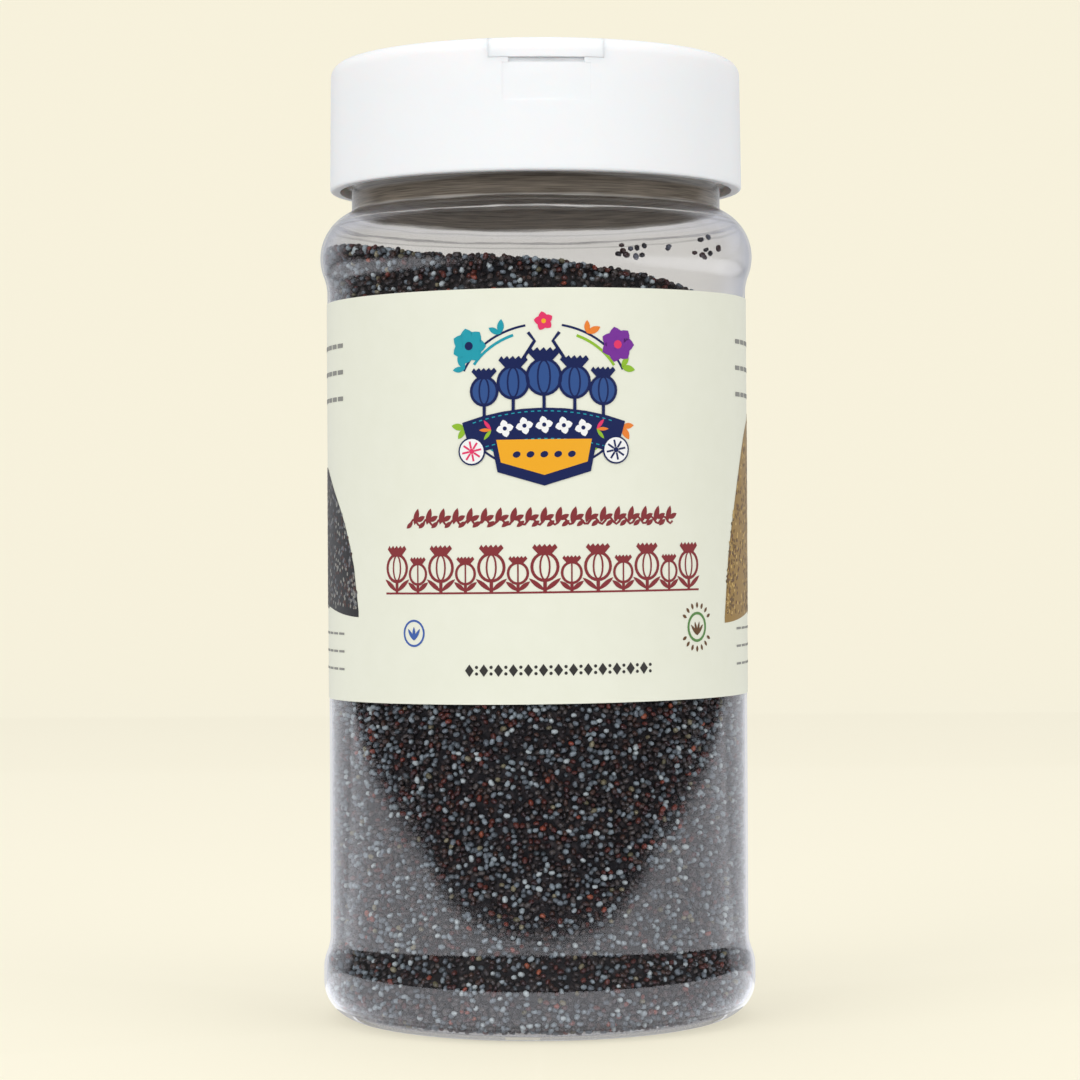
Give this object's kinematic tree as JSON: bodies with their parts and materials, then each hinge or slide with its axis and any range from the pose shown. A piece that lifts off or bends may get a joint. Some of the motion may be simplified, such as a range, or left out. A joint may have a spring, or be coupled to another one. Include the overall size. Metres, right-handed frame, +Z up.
{
  "type": "spice jar of poppy seed with flip-top shaker cap",
  "caption": "Clear cylindrical spice jar filled with poppy seed, with a cream wrap label and a white screw cap whose half-round doors flip up over shaker holes and a spoon opening.",
  "frame": {"origin": "centre of the base, on the surface that the jar stands on", "axes": "+Z up along the jar's axis; -Y is the front, where the label's emblem and the shaker door's tab are; +X is to the right seen from the front"},
  "size_m": [0.07, 0.07, 0.1541],
  "materials": {
    "clear_pet": "gloss",
    "poppy_seed": "matte",
    "label_paper": "satin",
    "white_polypropylene": "satin"
  },
  "bodies": {
    "jar": {"jar": "clear_pet", "poppy_seed_fill": "poppy_seed", "label": "label_paper", "cap_body": "white_polypropylene"},
    "shake_door": {"shake_door": "white_polypropylene"},
    "spoon_door": {"spoon_door": "white_polypropylene"}
  },
  "joints": [
    {"name": "shake_door_hinge", "type": "hinge", "parent": "jar", "child": "shake_door", "pos_m": [0.00022, -0.00414, 0.1541], "axis": [-0.9985, -0.0541, 0], "range_deg": [0, 95]},
    {"name": "spoon_door_hinge", "type": "hinge", "parent": "jar", "child": "spoon_door", "pos_m": [-0.00022, 0.00414, 0.1541], "axis": [0.9985, 0.0541, 0], "range_deg": [0, 95]}
  ]
}
